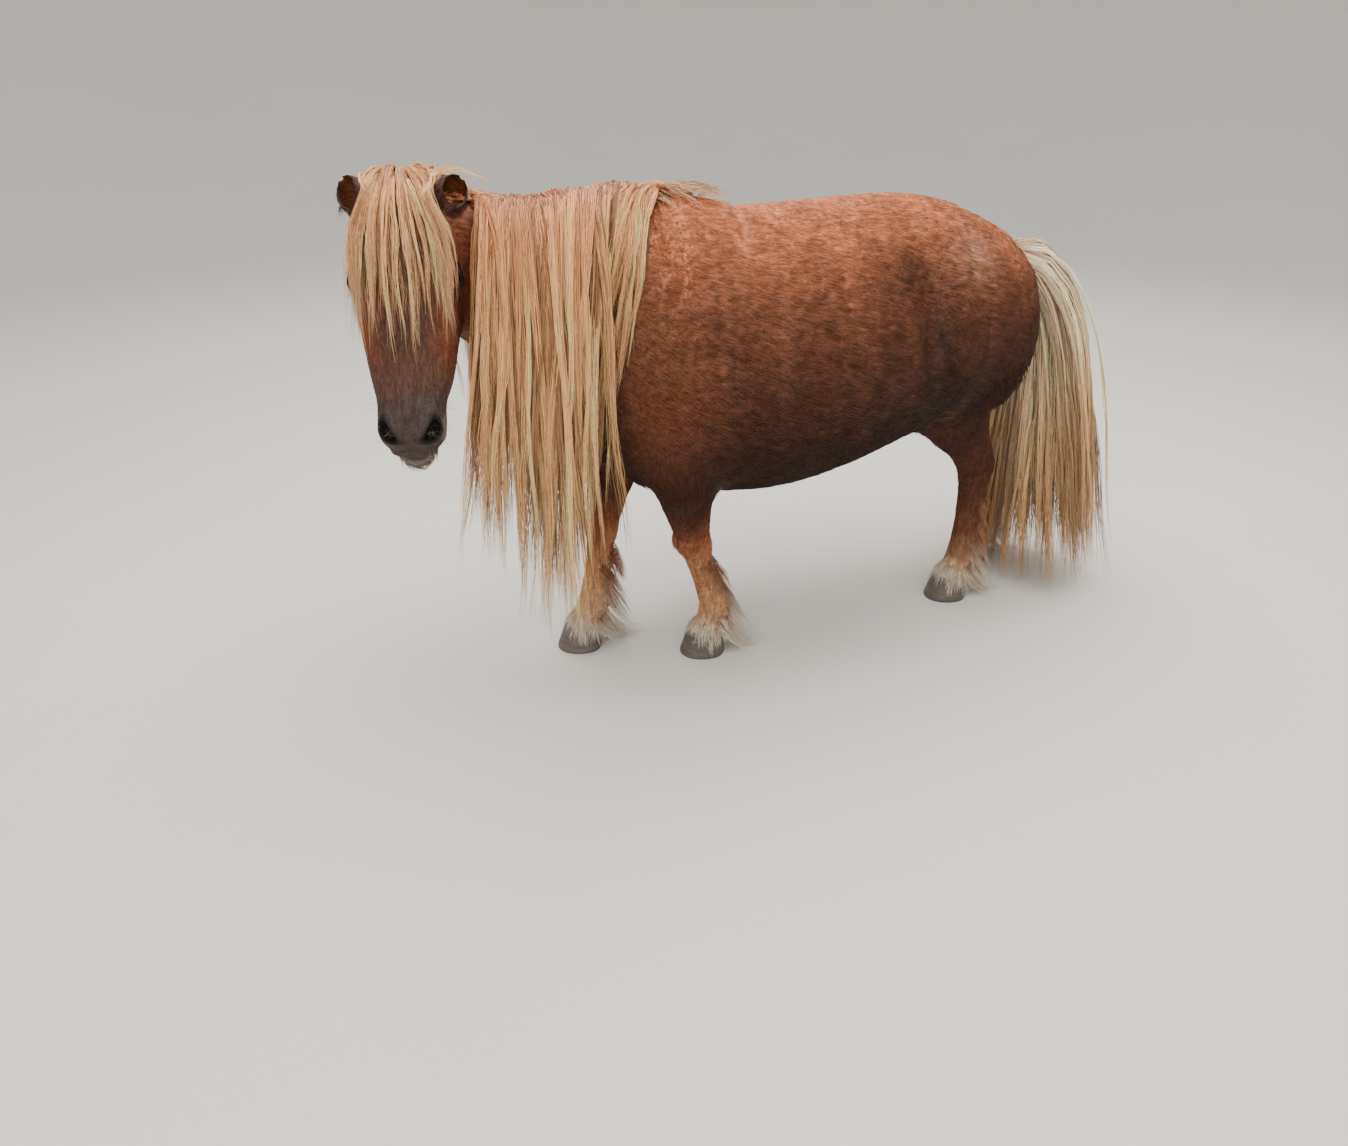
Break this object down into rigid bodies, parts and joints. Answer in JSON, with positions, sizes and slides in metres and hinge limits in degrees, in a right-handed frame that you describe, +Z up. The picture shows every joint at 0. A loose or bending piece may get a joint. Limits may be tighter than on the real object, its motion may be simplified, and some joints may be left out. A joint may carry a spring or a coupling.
{
  "type": "shetland pony",
  "caption": "Still life-size shetland pony standing on four hooves, head turned to its left, with long mane, forelock, tail and feathered heels.",
  "frame": {"origin": "on the floor under the middle of the whole model, at the level of the soles", "axes": "+Z up, -Y the way the pony's body faces, +X its left side"},
  "size_m": [0.5308, 1.7762, 1.0193],
  "materials": {
    "chestnut_coat": "short hair, flat and slightly wavy, soft sheen",
    "dark_coat": "short dark chestnut hair on the lower legs and ears",
    "flaxen_hair": "long coarse hair, flaxen with reddish roots",
    "hoof_horn": "dull grey horn",
    "eye": "wet dark brown eye"
  },
  "bodies": {
    "root": {"head": "chestnut_coat", "ear_left": "dark_coat", "ear_right": "dark_coat", "eye_left": "eye", "eye_right": "eye", "neck": "flaxen_hair", "torso": "chestnut_coat", "tail": "flaxen_hair", "fore_left_leg": "chestnut_coat", "fore_left_foot": "dark_coat", "fore_left_hoof": "hoof_horn", "fore_right_leg": "chestnut_coat", "fore_right_foot": "dark_coat", "fore_right_hoof": "hoof_horn", "hind_left_leg": "chestnut_coat", "hind_left_foot": "dark_coat", "hind_left_hoof": "hoof_horn", "hind_right_leg": "chestnut_coat", "hind_right_foot": "dark_coat", "hind_right_hoof": "hoof_horn"}
  },
  "joints": []
}
